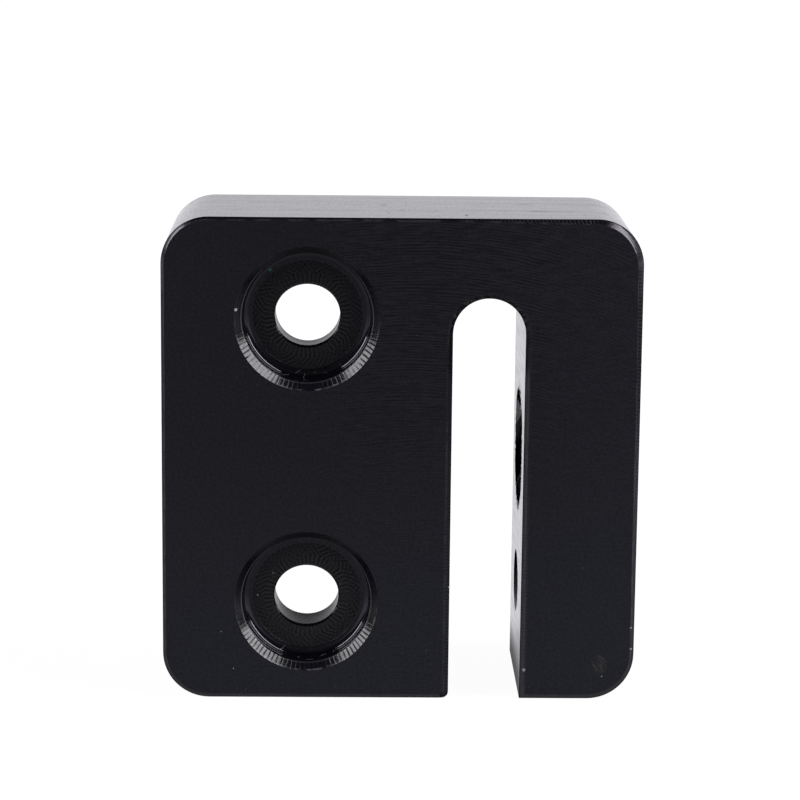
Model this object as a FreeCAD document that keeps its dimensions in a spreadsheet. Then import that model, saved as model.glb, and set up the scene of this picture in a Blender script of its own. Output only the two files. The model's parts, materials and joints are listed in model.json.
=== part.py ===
"""Anti-backlash nut for a four-start 8 mm lead screw, milled from one block of acetal.

A slot, open at the bottom, parts the body on the left from a leg on the right. The web above the slot
is the spring: a screw in the leg pushes on the body and spreads the two, so that the thread in the leg
and the thread in the body bear on opposite flanks of the lead screw.

X runs along the lead screw, Y from the front face to the rear face, and Z up.
The origin is the middle of the bottom face.
"""
import FreeCAD, Part
import math
import os
import Sketcher

NODE = "nut_block"

SIZES = {
    # The block, the round of its four corners and the break of its sharp edges
    "block_width": 33.0,
    "block_height": 34.0,
    "block_depth": 12.0,
    "corner_radius": 3.25,
    "edge_break": 0.3,
    # The slot between body and leg, and the web that is left above it
    "slot_width": 5.0,
    "leg_width": 8.0,
    "web_height": 5.5,
    # Two stepped mounting holes, one above the other in the middle of the body
    "hole_pitch": 20.0,
    "hole_diameter": 4.5,
    "hole_land": 2.5,
    "recess_diameter": 9.0,
    "front_recess_depth": 1.8,
    "rim_chamfer": 0.5,
    # The lead screw's bore at the crests of its thread. The lead-in at each end reaches the thread's roots
    "screw_bore_diameter": 6.0,
    "screw_lead_in": 1.25,
    # The adjusting screw's hole, through the leg alone, at the crests of its thread
    "adjuster_bore_diameter": 4.2,
    "adjuster_lead_in": 0.5,
    "adjuster_height": 7.0,
}

# Places that follow from the sizes
LEFT = "-sizes.block_width / 2"
RIGHT = "sizes.block_width / 2"
FRONT = "-sizes.block_depth / 2"
REAR = "sizes.block_depth / 2"
TOP = "sizes.block_height"
MID_HEIGHT = "sizes.block_height / 2"
SLOT_RADIUS = "sizes.slot_width / 2"
SLOT_MIDDLE = "sizes.block_width / 2 - sizes.leg_width - sizes.slot_width / 2"
SLOT_ARC_HEIGHT = "sizes.block_height - sizes.web_height - sizes.slot_width / 2"
BELOW_BLOCK = "-sizes.slot_width"
BODY_MIDDLE = "-(sizes.leg_width + sizes.slot_width) / 2"
LOWER_HOLE_HEIGHT = "(sizes.block_height - sizes.hole_pitch) / 2"
RECESS_FLOOR = f"{FRONT} + sizes.front_recess_depth"
LAND_END = f"{RECESS_FLOOR} + sizes.hole_land"
HOLE_RADIUS = "sizes.hole_diameter / 2"
RECESS_RADIUS = "sizes.recess_diameter / 2"
RIM_RADIUS = f"{RECESS_RADIUS} + sizes.rim_chamfer"
BORE_RADIUS = "sizes.screw_bore_diameter / 2"
ADJUSTER_RADIUS = "sizes.adjuster_bore_diameter / 2"

# How a sketch names the ends of its lines and its own origin
LINE_START = 1
LINE_END = 2
ARC_CENTRE = 3
SKETCH_ORIGIN = (-1, 1)


def add_size_sheet(doc):
    """The driving dimensions in millimetres, one named cell each."""
    sheet = doc.addObject("Spreadsheet::Sheet", "sizes")
    for row, (name, size) in enumerate(SIZES.items(), start=1):
        sheet.set(f"A{row}", name)
        sheet.set(f"B{row}", str(size))
        sheet.setAlias(f"B{row}", name)
    doc.recompute()


def sketch_on(body, name, role, up="0", out="0"):
    """An empty sketch on one of the body's origin planes, moved up in that plane and out of it."""
    sketch = body.newObject("Sketcher::SketchObject", name)
    plane = next(feature for feature in body.Origin.OriginFeatures if feature.Role == role)
    sketch.AttachmentSupport = (plane, "")
    sketch.MapMode = "FlatFace"
    sketch.setExpression(".AttachmentOffset.Base.y", up)
    sketch.setExpression(".AttachmentOffset.Base.z", out)
    return sketch


def measure(sketch, place):
    """The present value in millimetres of an expression in the named sizes."""
    return float(sketch.evalExpression(place))


def pin_point(sketch, geometry, end, name, across, up):
    """Hold one point of a sketch at a place given by two expressions."""
    for kind, suffix, place in (("DistanceX", "across", across), ("DistanceY", "up", up)):
        pin = Sketcher.Constraint(kind, *SKETCH_ORIGIN, geometry, end, measure(sketch, place))
        sketch.renameConstraint(sketch.addConstraint(pin), f"{name}_{suffix}")
        sketch.setExpression(f"Constraints.{name}_{suffix}", place)


def draw_profile(sketch, corners):
    """A closed outline of straight lines. Each corner has a name and a place of two expressions."""
    points = [FreeCAD.Vector(measure(sketch, across), measure(sketch, up), 0)
              for across, up in corners.values()]
    lines = [sketch.addGeometry(Part.LineSegment(start, end))
             for start, end in zip(points, points[1:] + points[:1])]
    for line, following in zip(lines, lines[1:] + lines[:1]):
        sketch.addConstraint(Sketcher.Constraint("Coincident", line, LINE_END, following, LINE_START))
    for line, (name, place) in zip(lines, corners.items()):
        pin_point(sketch, line, LINE_START, name, *place)


def check_cut(feature):
    """Stop if a cut has missed the solid that it is made in."""
    feature.Document.recompute()
    if feature.Shape.Volume >= feature.BaseFeature.Shape.Volume:
        raise RuntimeError(f"{feature.Name} removes nothing")


def add_block(body):
    """The plain block with its four corners rounded."""
    sketch = sketch_on(body, "block_outline", "XZ_Plane")
    draw_profile(sketch, {
        "bottom_left": (LEFT, "0"),
        "bottom_right": (RIGHT, "0"),
        "top_right": (RIGHT, TOP),
        "top_left": (LEFT, TOP),
    })
    block = body.newObject("PartDesign::Pad", "block")
    block.Profile = sketch
    block.SideType = "Symmetric"
    block.setExpression("Length", "sizes.block_depth")
    body.Document.recompute()

    corners = body.newObject("PartDesign::Fillet", "round_corners")
    front_to_rear = [f"Edge{number}" for number, edge in enumerate(block.Shape.Edges, start=1)
                     if math.isclose(abs(edge.tangentAt(edge.FirstParameter).y), 1.0)]
    corners.Base = (block, front_to_rear)
    corners.setExpression("Radius", "sizes.corner_radius")
    body.Document.recompute()


def add_slot(body):
    """The slot, cut through from front to rear, with a round top and its mouth at the bottom."""
    sketch = sketch_on(body, "slot_outline", "XZ_Plane")
    middle = measure(sketch, SLOT_MIDDLE)
    arc_height = measure(sketch, SLOT_ARC_HEIGHT)
    radius = measure(sketch, SLOT_RADIUS)
    below = measure(sketch, BELOW_BLOCK)
    points = [FreeCAD.Vector(middle + side * radius, height, 0)
              for side, height in ((-1, arc_height), (-1, below), (1, below), (1, arc_height))]
    left, mouth, right = [sketch.addGeometry(Part.LineSegment(start, end))
                          for start, end in zip(points, points[1:])]
    circle = Part.Circle(FreeCAD.Vector(middle, arc_height, 0), FreeCAD.Vector(0, 0, 1), radius)
    arc = sketch.addGeometry(Part.ArcOfCircle(circle, 0, math.pi))
    sketch.addConstraint([
        Sketcher.Constraint("Tangent", arc, LINE_END, left, LINE_START),
        Sketcher.Constraint("Coincident", left, LINE_END, mouth, LINE_START),
        Sketcher.Constraint("Coincident", mouth, LINE_END, right, LINE_START),
        Sketcher.Constraint("Tangent", right, LINE_END, arc, LINE_START),
        Sketcher.Constraint("Vertical", left),
        Sketcher.Constraint("Horizontal", mouth),
    ])
    pin_point(sketch, arc, ARC_CENTRE, "arc_centre", SLOT_MIDDLE, SLOT_ARC_HEIGHT)
    pin_point(sketch, mouth, LINE_START, "mouth_left", f"{SLOT_MIDDLE} - {SLOT_RADIUS}", BELOW_BLOCK)

    slot = body.newObject("PartDesign::Pocket", "slot")
    slot.Profile = sketch
    slot.SideType = "Symmetric"
    slot.setExpression("Length", "sizes.block_depth")
    check_cut(slot)


def add_edge_break(body):
    """A small bevel round the front and rear faces, along the outline and along the slot."""
    slot = body.Tip
    faces = [f"Face{number}" for number, face in enumerate(slot.Shape.Faces, start=1)
             if math.isclose(abs(face.normalAt(0, 0).y), 1.0)]
    edges = body.newObject("PartDesign::Chamfer", "edge_break")
    edges.Base = (slot, faces)
    edges.setExpression("Size", "sizes.edge_break")
    check_cut(edges)


def turn_out(body, name, sketch):
    """Remove what a profile sweeps when it turns once about its sketch's own horizontal axis."""
    groove = body.newObject("PartDesign::Groove", name)
    groove.Profile = sketch
    groove.ReferenceAxis = (sketch, ["H_Axis"])
    groove.Angle = 360
    check_cut(groove)
    return groove


def add_mounting_holes(body):
    """Two screw holes with a shallow recess in front and a deep one behind a thin land."""
    sketch = sketch_on(body, "mounting_hole_profile", "YZ_Plane", LOWER_HOLE_HEIGHT, BODY_MIDDLE)
    draw_profile(sketch, {
        "front_axis": (FRONT, "0"),
        "front_rim": (FRONT, RIM_RADIUS),
        "front_wall_start": (f"{FRONT} + sizes.rim_chamfer", RECESS_RADIUS),
        "front_wall_end": (RECESS_FLOOR, RECESS_RADIUS),
        "land_start": (RECESS_FLOOR, HOLE_RADIUS),
        "land_end": (LAND_END, HOLE_RADIUS),
        "rear_wall_start": (LAND_END, RECESS_RADIUS),
        "rear_wall_end": (f"{REAR} - sizes.rim_chamfer", RECESS_RADIUS),
        "rear_rim": (REAR, RIM_RADIUS),
        "rear_axis": (REAR, "0"),
    })
    lower = turn_out(body, "lower_mounting_hole", sketch)

    pair = body.newObject("PartDesign::LinearPattern", "mounting_holes")
    pair.Originals = [lower]
    pair.Direction = (sketch, ["V_Axis"])
    pair.Occurrences = 2
    pair.setExpression("Length", "sizes.hole_pitch")
    body.Tip = pair
    check_cut(pair)


def add_screw_bore(body):
    """The lead screw's bore, straight through leg, slot and body at mid height."""
    sketch = sketch_on(body, "screw_bore_profile", "XZ_Plane", MID_HEIGHT)
    mouth_radius = f"{BORE_RADIUS} + sizes.screw_lead_in"
    draw_profile(sketch, {
        "left_axis": (LEFT, "0"),
        "left_mouth": (LEFT, mouth_radius),
        "left_wall": (f"{LEFT} + sizes.screw_lead_in", BORE_RADIUS),
        "right_wall": (f"{RIGHT} - sizes.screw_lead_in", BORE_RADIUS),
        "right_mouth": (RIGHT, mouth_radius),
        "right_axis": (RIGHT, "0"),
    })
    turn_out(body, "screw_bore", sketch)


def add_adjuster_bore(body):
    """The adjusting screw's hole, from the right side through the leg into the slot."""
    sketch = sketch_on(body, "adjuster_bore_profile", "XZ_Plane", "sizes.adjuster_height")
    draw_profile(sketch, {
        "slot_axis": (SLOT_MIDDLE, "0"),
        "slot_wall": (SLOT_MIDDLE, ADJUSTER_RADIUS),
        "right_wall": (f"{RIGHT} - sizes.adjuster_lead_in", ADJUSTER_RADIUS),
        "right_mouth": (RIGHT, f"{ADJUSTER_RADIUS} + sizes.adjuster_lead_in"),
        "right_axis": (RIGHT, "0"),
    })
    turn_out(body, "adjuster_bore", sketch)


def add_nut_block(doc):
    """The nut: one solid, milled, drilled and bored."""
    body = doc.addObject("PartDesign::Body", NODE)
    body.Label = NODE
    body.Placement = FreeCAD.Placement()
    add_block(body)
    add_slot(body)
    add_edge_break(body)
    add_mounting_holes(body)
    add_screw_bore(body)
    add_adjuster_bore(body)
    return body


def check_document(doc, body):
    """Stop if a feature failed or the finished body isn't one sound solid."""
    failed = [item.Name for item in doc.Objects if {"Invalid", "Error"} & set(item.State)]
    if failed:
        raise RuntimeError(f"failed features: {failed}")
    shape = body.Shape
    if shape.isNull() or not shape.isValid() or len(shape.Solids) != 1:
        raise RuntimeError(f"{body.Label} isn't one sound solid")


doc = FreeCAD.newDocument("anti_backlash_nut")
add_size_sheet(doc)
nut_block = add_nut_block(doc)
doc.recompute()
check_document(doc, nut_block)

os.makedirs("parts", exist_ok=True)
nut_block.Shape.exportStep(f"parts/{nut_block.Label}.step")
box = nut_block.Shape.BoundBox
print(f"{nut_block.Label}: {box.XLength:.3f} x {box.YLength:.3f} x {box.ZLength:.3f} mm, "
      f"{nut_block.Shape.Volume:.2f} mm3, {len(nut_block.Shape.Faces)} faces")
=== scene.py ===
"""Looks of the anti-backlash nut: one milled block of black acetal with its threads cut, on white."""
import json
import math

import bpy
from mathutils import Matrix, Vector, noise


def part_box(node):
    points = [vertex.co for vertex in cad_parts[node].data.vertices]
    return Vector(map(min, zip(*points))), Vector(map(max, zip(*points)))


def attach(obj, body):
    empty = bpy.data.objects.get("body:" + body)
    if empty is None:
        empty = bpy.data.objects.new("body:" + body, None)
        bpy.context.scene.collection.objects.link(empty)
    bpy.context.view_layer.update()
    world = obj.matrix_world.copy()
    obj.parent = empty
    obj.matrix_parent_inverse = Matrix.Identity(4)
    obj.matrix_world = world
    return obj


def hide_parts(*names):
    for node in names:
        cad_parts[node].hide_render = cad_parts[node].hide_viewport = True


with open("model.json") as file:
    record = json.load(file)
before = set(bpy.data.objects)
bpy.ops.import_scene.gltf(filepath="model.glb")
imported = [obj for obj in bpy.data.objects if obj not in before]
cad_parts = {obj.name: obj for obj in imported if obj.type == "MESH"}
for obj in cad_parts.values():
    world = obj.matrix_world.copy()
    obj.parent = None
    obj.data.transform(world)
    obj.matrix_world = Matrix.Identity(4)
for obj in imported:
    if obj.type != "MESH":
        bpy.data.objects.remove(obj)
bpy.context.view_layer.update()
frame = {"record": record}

MM = 0.001

# Places that the frame gives, in metres
LOW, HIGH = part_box("nut_block")
MOUNTS = {mount["name"]: mount for mount in frame["record"]["mounts"]}
HOLES = MOUNTS["mounting_holes"]
HOLE_X = HOLES["pos_m"][0]
MID_HEIGHT = HOLES["pos_m"][2]
HALF_PITCH = HOLES["dims"]["spacing_y_mm"] * MM / 2
HOLE_RADIUS = HOLES["dims"]["hole_r_mm"] * MM
SCREW_HEIGHT = MOUNTS["lead_screw"]["pos_m"][2]
SCREW_CREST = MOUNTS["lead_screw"]["dims"]["r_mm"] * MM
ADJUSTER_HEIGHT = MOUNTS["adjusting_screw"]["pos_m"][2]
ADJUSTER_CREST = MOUNTS["adjusting_screw"]["dims"]["r_mm"] * MM

# Sizes of the block, as in the solid
CORNER_RADIUS = 3.25 * MM
EDGE_BREAK = 0.3 * MM
SLOT_WIDTH = 5.0 * MM
LEG_WIDTH = 8.0 * MM
WEB_HEIGHT = 5.5 * MM
SLOT_RIGHT = HIGH.x - LEG_WIDTH
SLOT_LEFT = SLOT_RIGHT - SLOT_WIDTH
SLOT_MIDDLE = (SLOT_LEFT + SLOT_RIGHT) / 2
SLOT_ARC_HEIGHT = HIGH.z - WEB_HEIGHT - SLOT_WIDTH / 2

# Small forms that the solid leaves out: a thin facet past each edge break, and a round at the slot's mouth
FACET_INSET = 0.05 * MM
FACET_DEPTH = 0.08 * MM
MOUTH_ROUND = 0.45 * MM

# Sizes of the stepped mounting holes, as in the solid, with the radius and burr that the cutter leaves
RECESS_RADIUS = 4.5 * MM
RIM_CHAMFER = 0.5 * MM
FRONT_RECESS_DEPTH = 1.8 * MM
HOLE_LAND = 2.5 * MM
FLOOR_CORNER = 0.45 * MM
RING_DISH = 0.04 * MM
ROSETTE_RADIUS = 3.8 * MM
ROSETTE_STEP = 0.01 * MM
HOLE_LIP = 0.08 * MM
FRONT_BURR = 0.11 * MM
LOWER_REAR_BURR = 0.20 * MM
UPPER_REAR_BURR = 0.02 * MM

# The two threads: the lead screw's is trapezoidal with four starts, and the adjuster's is metric.
# A phase is how far the thread has turned at the slot's right wall, in degrees.
SCREW_ROOT = 4.25 * MM
SCREW_PITCH = 2.0 * MM
SCREW_STARTS = 4
SCREW_CREST_FLAT = 0.732 * MM
SCREW_ROOT_FLAT = 0.598 * MM
SCREW_MOUTH_RADIUS = 4.4 * MM
SCREW_PHASE = 48
SCREW_TEAR = 0.09 * MM
SCREW_SLICE = 0.25 * MM
ADJUSTER_ROOT = 2.5 * MM
ADJUSTER_PITCH = 0.8 * MM
ADJUSTER_CREST_FLAT = 0.238 * MM
ADJUSTER_ROOT_FLAT = 0.1 * MM
ADJUSTER_MOUTH_RADIUS = 2.6 * MM
ADJUSTER_PHASE = 350
ADJUSTER_SLICE = ADJUSTER_PITCH / 20

# How finely round forms are divided, what edge counts as sharp, and how far a cutter reaches past a face
OUTLINE_STEP = 0.3 * MM
LEAST_STEPS = 6
TURN_SEGMENTS = 168
FILLET_STEPS = 6
FLAT_STEPS = 4
FLANK_STEPS = 3
SHARP_ANGLE = math.radians(18)
PAST_FACE = 0.5 * MM

# The camera, set where the photograph's outline and holes line up
CAMERA_PLACE = Vector((-3.6456, -191.9682, 59.8214)) * MM
CAMERA_PITCH = math.radians(11.6657)
CAMERA_YAW = math.radians(1.0933)
CAMERA_ROLL = math.radians(0.6102)
CAMERA_LENS = 124.291
CAMERA_SENSOR = 36.0
CAMERA_NEAR = 0.01

# The studio in metres: the floor's half width, and each soft light's place, width, height and watts
FLOOR_REACH = 4.0
FLOOR_GREY = (0.07, 0.07, 0.07, 1)
SOFTBOXES = {
    "right_softbox": ((0.600, -0.150, 0.458), 0.30, 0.70, 5.18),
    "left_softbox": ((-0.654, -0.158, 0.390), 0.30, 0.53, 3.53),
}

# What the acetal mirrors has a faint violet tint
STUDIO_TINT = (0.965, 0.955, 1.0, 1)
WHITE = (1, 1, 1, 1)

# Acetal: nearly black, with a violet sheen that turns blue low on the leg
ACETAL_IOR = 1.48
DARK = (0.0042, 0.0040, 0.0072, 1)
PALE = (0.0090, 0.0085, 0.0130, 1)
# Painted bounce light: two paler colours for the upper half of a hole's rim, which faces down
PAINTED_BOUNCE_DIM = (0.040, 0.038, 0.046, 1)
# Pale tears, also used as painted highlights on the burr and on the rims' inner edges
TORN_AND_GLINT = (0.155, 0.150, 0.160, 1)
VIOLET = (0.90, 0.85, 1.0, 1)
NEUTRAL = (0.96, 0.95, 1.0, 1)
BLUE = (0.81, 0.855, 1.0, 1)
# Painted light: a paler colour for the strip beside the slot, where the edge rounds over
PAINTED_EDGE_LIGHT = (0.050, 0.051, 0.060, 1)
PAINTED_BOUNCE_BRIGHT = (0.110, 0.105, 0.120, 1)
DUST = (0.60, 0.60, 0.62, 1)
SCUFF = (0.060, 0.050, 0.042, 1)
TEAL = (0.10, 0.42, 0.38, 1)

# The plainest flecks of dust on the front, as X, Z and radius in millimetres
FACE_FLECKS = [
    (-11.37, 27.61, 0.10),
    (8.80, 2.11, 0.11),
    (3.46, 8.09, 0.06),
    (16.26, 5.23, 0.06),
    (16.30, 3.68, 0.07),
    (-10.38, 7.79, 0.04),
    (-12.40, 4.81, 0.04),
    (-11.57, 2.12, 0.04),
    (14.28, 1.67, 0.05),
]
RECESS_FLECKS = [(-8.86, 8.57, 0.06), (-9.95, 6.96, 0.07), (-9.72, 4.22, 0.06), (-4.15, 7.82, 0.05)]
TEAL_FLECK = (-9.10, 30.14, 0.13)

# Wear on the top, in millimetres: nicks as X, Y, half length, half width and strength, and two dull rows
TOP_NICKS = [
    (9.60, -2.00, 1.40, 0.50, 0.84),
    (-1.30, 0.60, 0.40, 0.70, 0.82),
    (0.00, -2.10, 0.40, 0.50, 0.85),
    (4.37, -4.20, 0.16, 0.65, 1.00),
    (-0.95, -3.30, 0.13, 0.50, 0.82),
    (12.55, -3.50, 0.13, 0.50, 0.85),
    (8.50, 1.60, 0.60, 0.60, 0.80),
]
TOP_ROWS = [1.70, -2.10]

# A rubbed patch low on the leg, as X and Z, and the spacing of chatter ticks, in millimetres
SCUFF_CENTRE = (14.07, 2.55)
SCUFF_HALF_SIZE = (0.60, 0.75)
TICK_SPACING = 0.26


# Node trees

class Nodes:
    """A short way to write a node tree: each input is a plain value or another node's output."""

    def __init__(self, tree):
        self.tree = tree
        tree.nodes.clear()

    def add(self, kind, inputs=None, **settings):
        made = self.tree.nodes.new(kind)
        for name, setting in settings.items():
            setattr(made, name, setting)
        for name, value in (inputs or {}).items():
            self.feed(made.inputs[name], value)
        return made

    def feed(self, socket, value):
        if isinstance(value, bpy.types.NodeSocket):
            self.tree.links.new(value, socket)
        else:
            socket.default_value = value

    def math(self, operation, *values):
        return self.add("ShaderNodeMath", dict(enumerate(values)), operation=operation).outputs[0]

    def place(self):
        """Where a point of the surface is, in millimetres."""
        where = self.add("ShaderNodeTexCoord").outputs["Object"]
        inputs = {"Vector": where, "Scale": 1 / MM}
        return self.add("ShaderNodeVectorMath", inputs, operation="SCALE").outputs[0]

    def split(self, vector):
        return self.add("ShaderNodeSeparateXYZ", {"Vector": vector}).outputs

    def stretch(self, vector, factors):
        return self.add("ShaderNodeVectorMath", {0: vector, 1: factors}, operation="MULTIPLY").outputs[0]

    def ramp(self, value, low, high, out_low=0.0, out_high=1.0):
        """A smooth step of value from low to high."""
        inputs = {"Value": value, "From Min": low, "From Max": high, "To Min": out_low, "To Max": out_high}
        return self.add("ShaderNodeMapRange", inputs, interpolation_type="SMOOTHSTEP").outputs[0]

    def noise(self, vector, scale, detail=2.0):
        inputs = {"Vector": vector, "Scale": scale, "Detail": detail}
        return self.add("ShaderNodeTexNoise", inputs).outputs["Fac"]

    def grain(self, place):
        """The fine grain that most cut surfaces share."""
        return self.noise(place, 5.0, 3.0)

    def streaks(self, place, factors, detail=2.0):
        """Noise with a fineness of its own along each axis."""
        return self.noise(self.stretch(place, factors), 1.0, detail)

    def wave(self, phase):
        """A sine of phase, counted in whole waves, from 0 to 1."""
        turn = self.math("MULTIPLY", phase, 2 * math.pi)
        return self.math("MULTIPLY_ADD", self.math("SINE", turn), 0.5, 0.5)

    def ripple(self, value, spacing):
        """Waves that lie one spacing apart, from 0 to 1."""
        return self.wave(self.math("DIVIDE", value, spacing))

    def distance(self, across, up, centre):
        """How far a point is from a centre, in the plane of two coordinates."""
        side = self.math("SUBTRACT", across, centre[0])
        rise = self.math("SUBTRACT", up, centre[1])
        square = self.math("MULTIPLY_ADD", side, side, self.math("MULTIPLY", rise, rise))
        return self.math("SQRT", square)

    def oval(self, across, up, centre, half_size):
        """How far a point is from the centre of an oval, counted so that the oval itself is at 1."""
        side = self.math("DIVIDE", self.math("SUBTRACT", across, centre[0]), half_size[0])
        rise = self.math("DIVIDE", self.math("SUBTRACT", up, centre[1]), half_size[1])
        return self.distance(side, rise, (0.0, 0.0))

    def specks(self, place, spacing, size, share):
        """1 inside small round flecks. Cells lie about one spacing apart, and a share of them have one."""
        cells = self.add("ShaderNodeTexVoronoi", {"Vector": place, "Scale": 1 / spacing})
        reach = size / spacing
        ragged = self.math("MULTIPLY_ADD", self.noise(place, 9.0), reach, cells.outputs["Distance"])
        near = self.math("LESS_THAN", ragged, 1.5 * reach)
        chosen = self.math("LESS_THAN", self.split(cells.outputs["Color"])[0], share)
        return self.math("MULTIPLY", near, chosen)

    def shade(self, colour, factor):
        """A colour made darker by a factor that varies."""
        inputs = {"Vector": colour, "Scale": factor}
        return self.add("ShaderNodeVectorMath", inputs, operation="SCALE").outputs[0]

    def blend(self, factor, first, second):
        """A mix of two colours. The Mix node's colours are its inputs 6 and 7 and its output 2."""
        mixer = self.add("ShaderNodeMix", {"Factor": factor}, data_type="RGBA")
        self.feed(mixer.inputs[6], first)
        self.feed(mixer.inputs[7], second)
        return mixer.outputs[2]


# Finishes of the acetal

def new_material(name):
    material = bpy.data.materials.new(name)
    material.use_nodes = True
    return material, Nodes(material.node_tree)


def acetal_surface(nodes, colour, roughness, height, relief, sheen=VIOLET, gloss=0.5):
    """Black acetal whose roughness and height vary over the surface. Relief is the height's real scale."""
    bump = nodes.add("ShaderNodeBump", {"Height": height, "Distance": relief, "Strength": 1.0})
    shader = nodes.add("ShaderNodeBsdfPrincipled", {
        "Base Color": colour,
        "Roughness": roughness,
        "IOR": ACETAL_IOR,
        "Specular IOR Level": gloss,
        "Specular Tint": sheen,
        "Normal": bump.outputs[0],
    })
    nodes.add("ShaderNodeOutputMaterial", {"Surface": shader.outputs[0]})


def on_front(nodes, place):
    """1 on the front half of the block."""
    return nodes.math("LESS_THAN", nodes.split(place)[1], 0.0)


def dust_flecks(nodes, place, flecks):
    """1 on the flecks of a list, on the front half alone."""
    x, _, z = nodes.split(place)
    dust = 0.0
    for side, height, size in flecks:
        inside = nodes.math("LESS_THAN", nodes.distance(x, z, (side, height)), size)
        dust = nodes.math("MAXIMUM", dust, inside)
    return nodes.math("MULTIPLY", dust, on_front(nodes, place))


def scuff_mark(nodes, x, z):
    """A small rubbed patch low on the leg, made of slanting strokes."""
    lean = 0.8
    inside = nodes.ramp(nodes.oval(x, z, SCUFF_CENTRE, SCUFF_HALF_SIZE), 1.1, 0.6)
    slant = nodes.math("MULTIPLY_ADD", x, lean, z)
    across = nodes.math("MULTIPLY_ADD", z, -lean, x)
    strokes = nodes.add("ShaderNodeCombineXYZ", {"X": nodes.math("MULTIPLY", slant, 2.4), "Y": across})
    rubbed = nodes.ramp(nodes.noise(strokes.outputs[0], 1.6, 4.0), 0.38, 0.62)
    return nodes.math("MULTIPLY", inside, rubbed)


def slot_ticks_and_painted_light(nodes, x, z):
    """A strip along the slot's edge with chatter ticks, painted paler as the light on an edge that rounds
    over, plainest near the mouth.
    """
    strip_width = 0.5
    soft_width = 0.12
    arc_height = SLOT_ARC_HEIGHT / MM
    up_from_arc = nodes.math("MAXIMUM", z, arc_height)
    from_axis = nodes.distance(x, up_from_arc, (SLOT_MIDDLE / MM, arc_height))
    edge = SLOT_WIDTH / MM / 2
    strip = nodes.ramp(from_axis, edge + strip_width, edge + strip_width - soft_width)
    ticks = nodes.ramp(nodes.ripple(z, TICK_SPACING), 0.3, 0.9, 0.25, 0.6)
    fading = nodes.ramp(z, 22.0, 6.0, 0.3, 1.0)
    return nodes.math("MULTIPLY", nodes.math("MULTIPLY", strip, ticks), fading)


def feed_lines(nodes, place):
    """Height of the face mill's marks: broken arcs over a grain, plainest above and right of the middle."""
    x, _, z = nodes.split(place)
    arc_centre = (1.0, -8.0)
    line_spacing = 0.21
    wander = nodes.streaks(place, (0.15, 0.15, 0.6))
    phase = nodes.math("DIVIDE", nodes.distance(x, z, arc_centre), line_spacing)
    lines = nodes.math("SUBTRACT", nodes.wave(nodes.math("MULTIPLY_ADD", wander, 3.0, phase)), 0.5)
    patchy = nodes.ramp(nodes.streaks(place, (0.5, 0.5, 1.2)), 0.35, 0.65, 0.05, 0.8)
    dashes = nodes.math("SUBTRACT", nodes.streaks(place, (1.1, 1.1, 6.0)), 0.5)
    broken_lines = nodes.math("MULTIPLY_ADD", lines, patchy, nodes.math("MULTIPLY", dashes, 1.3))
    high = nodes.ramp(z, 12.0, 28.0, 0.1, 0.5)
    across = nodes.math("MULTIPLY", nodes.ramp(x, -9.0, -1.0, 0.1, 1.0), nodes.ramp(x, 8.0, 12.0, 1.0, 0.5))
    plainness = nodes.math("MULTIPLY", high, across)
    grain = nodes.math("MULTIPLY_ADD", nodes.grain(place), 0.45, 0.275)
    return nodes.math("MULTIPLY_ADD", broken_lines, plainness, grain)


def face_dust(nodes, place):
    """Dust on the front: the flecks of the list, and fainter ones, most of them low or on the leg."""
    x, _, z = nodes.split(place)
    spacing = 0.9
    size = 0.04
    low = nodes.ramp(z, 16.0, 2.0, 0.12, 0.5)
    share = nodes.math("MAXIMUM", low, nodes.ramp(x, 11.0, 14.0, 0.0, 0.5))
    specks = nodes.specks(nodes.stretch(place, (1, 0, 1)), spacing, size, share)
    faint = nodes.math("MULTIPLY", specks, 0.14)
    dust = nodes.math("MAXIMUM", faint, dust_flecks(nodes, place, FACE_FLECKS))
    return nodes.math("MULTIPLY", dust, on_front(nodes, place))


def milled_face():
    """The front and rear faces: feed lines of a large face mill, a ticked strip of painted light by the
    slot, and dust.
    """
    material, nodes = new_material("milled_face")
    place = nodes.place()
    x, _, z = nodes.split(place)
    texture = feed_lines(nodes, place)
    scuffed = nodes.math("MULTIPLY", scuff_mark(nodes, x, z), on_front(nodes, place))
    colour = nodes.blend(nodes.ramp(texture, 0.3, 0.7), DARK, PALE)
    # Painted light: the strip beside the slot is paler, as on a rounded edge
    colour = nodes.blend(slot_ticks_and_painted_light(nodes, x, z), colour, PAINTED_EDGE_LIGHT)
    colour = nodes.blend(scuffed, colour, SCUFF)
    colour = nodes.blend(face_dust(nodes, place), colour, DUST)
    roughness = nodes.ramp(nodes.noise(place, 0.8, 4.0), 0.2, 0.8, 0.22, 0.30)
    low = nodes.ramp(nodes.math("MULTIPLY_ADD", x, -0.2, z), 16.0, 8.0)
    cast = nodes.blend(low, VIOLET, BLUE)
    sheen = nodes.shade(cast, nodes.ramp(texture, 0.28, 0.72, 0.55, 1.0))
    acetal_surface(nodes, colour, roughness, texture, relief=0.010 * MM, sheen=sheen)
    return material


def top_wear(nodes, place):
    """How dull the top is: strongest in its nicks, and less in two patchy rows along it."""
    x, y, z = nodes.split(place)
    top_skin = 0.2
    wear = 0.0
    for side, depth, half_length, half_width, strength in TOP_NICKS:
        from_nick = nodes.oval(x, y, (side, depth), (half_length, half_width))
        wear = nodes.math("MAXIMUM", wear, nodes.ramp(from_nick, 1.2, 0.4, 0.0, strength))
    patchy = nodes.ramp(nodes.streaks(place, (0.6, 0.3, 0.0), 3.0), 0.35, 0.6, 0.1, 0.55)
    for depth in TOP_ROWS:
        row = nodes.ramp(nodes.math("ABSOLUTE", nodes.math("SUBTRACT", y, depth)), 0.8, 0.2)
        wear = nodes.math("MAXIMUM", wear, nodes.math("MULTIPLY", row, patchy))
    return nodes.math("MULTIPLY", wear, nodes.math("GREATER_THAN", z, HIGH.z / MM - top_skin))


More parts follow.
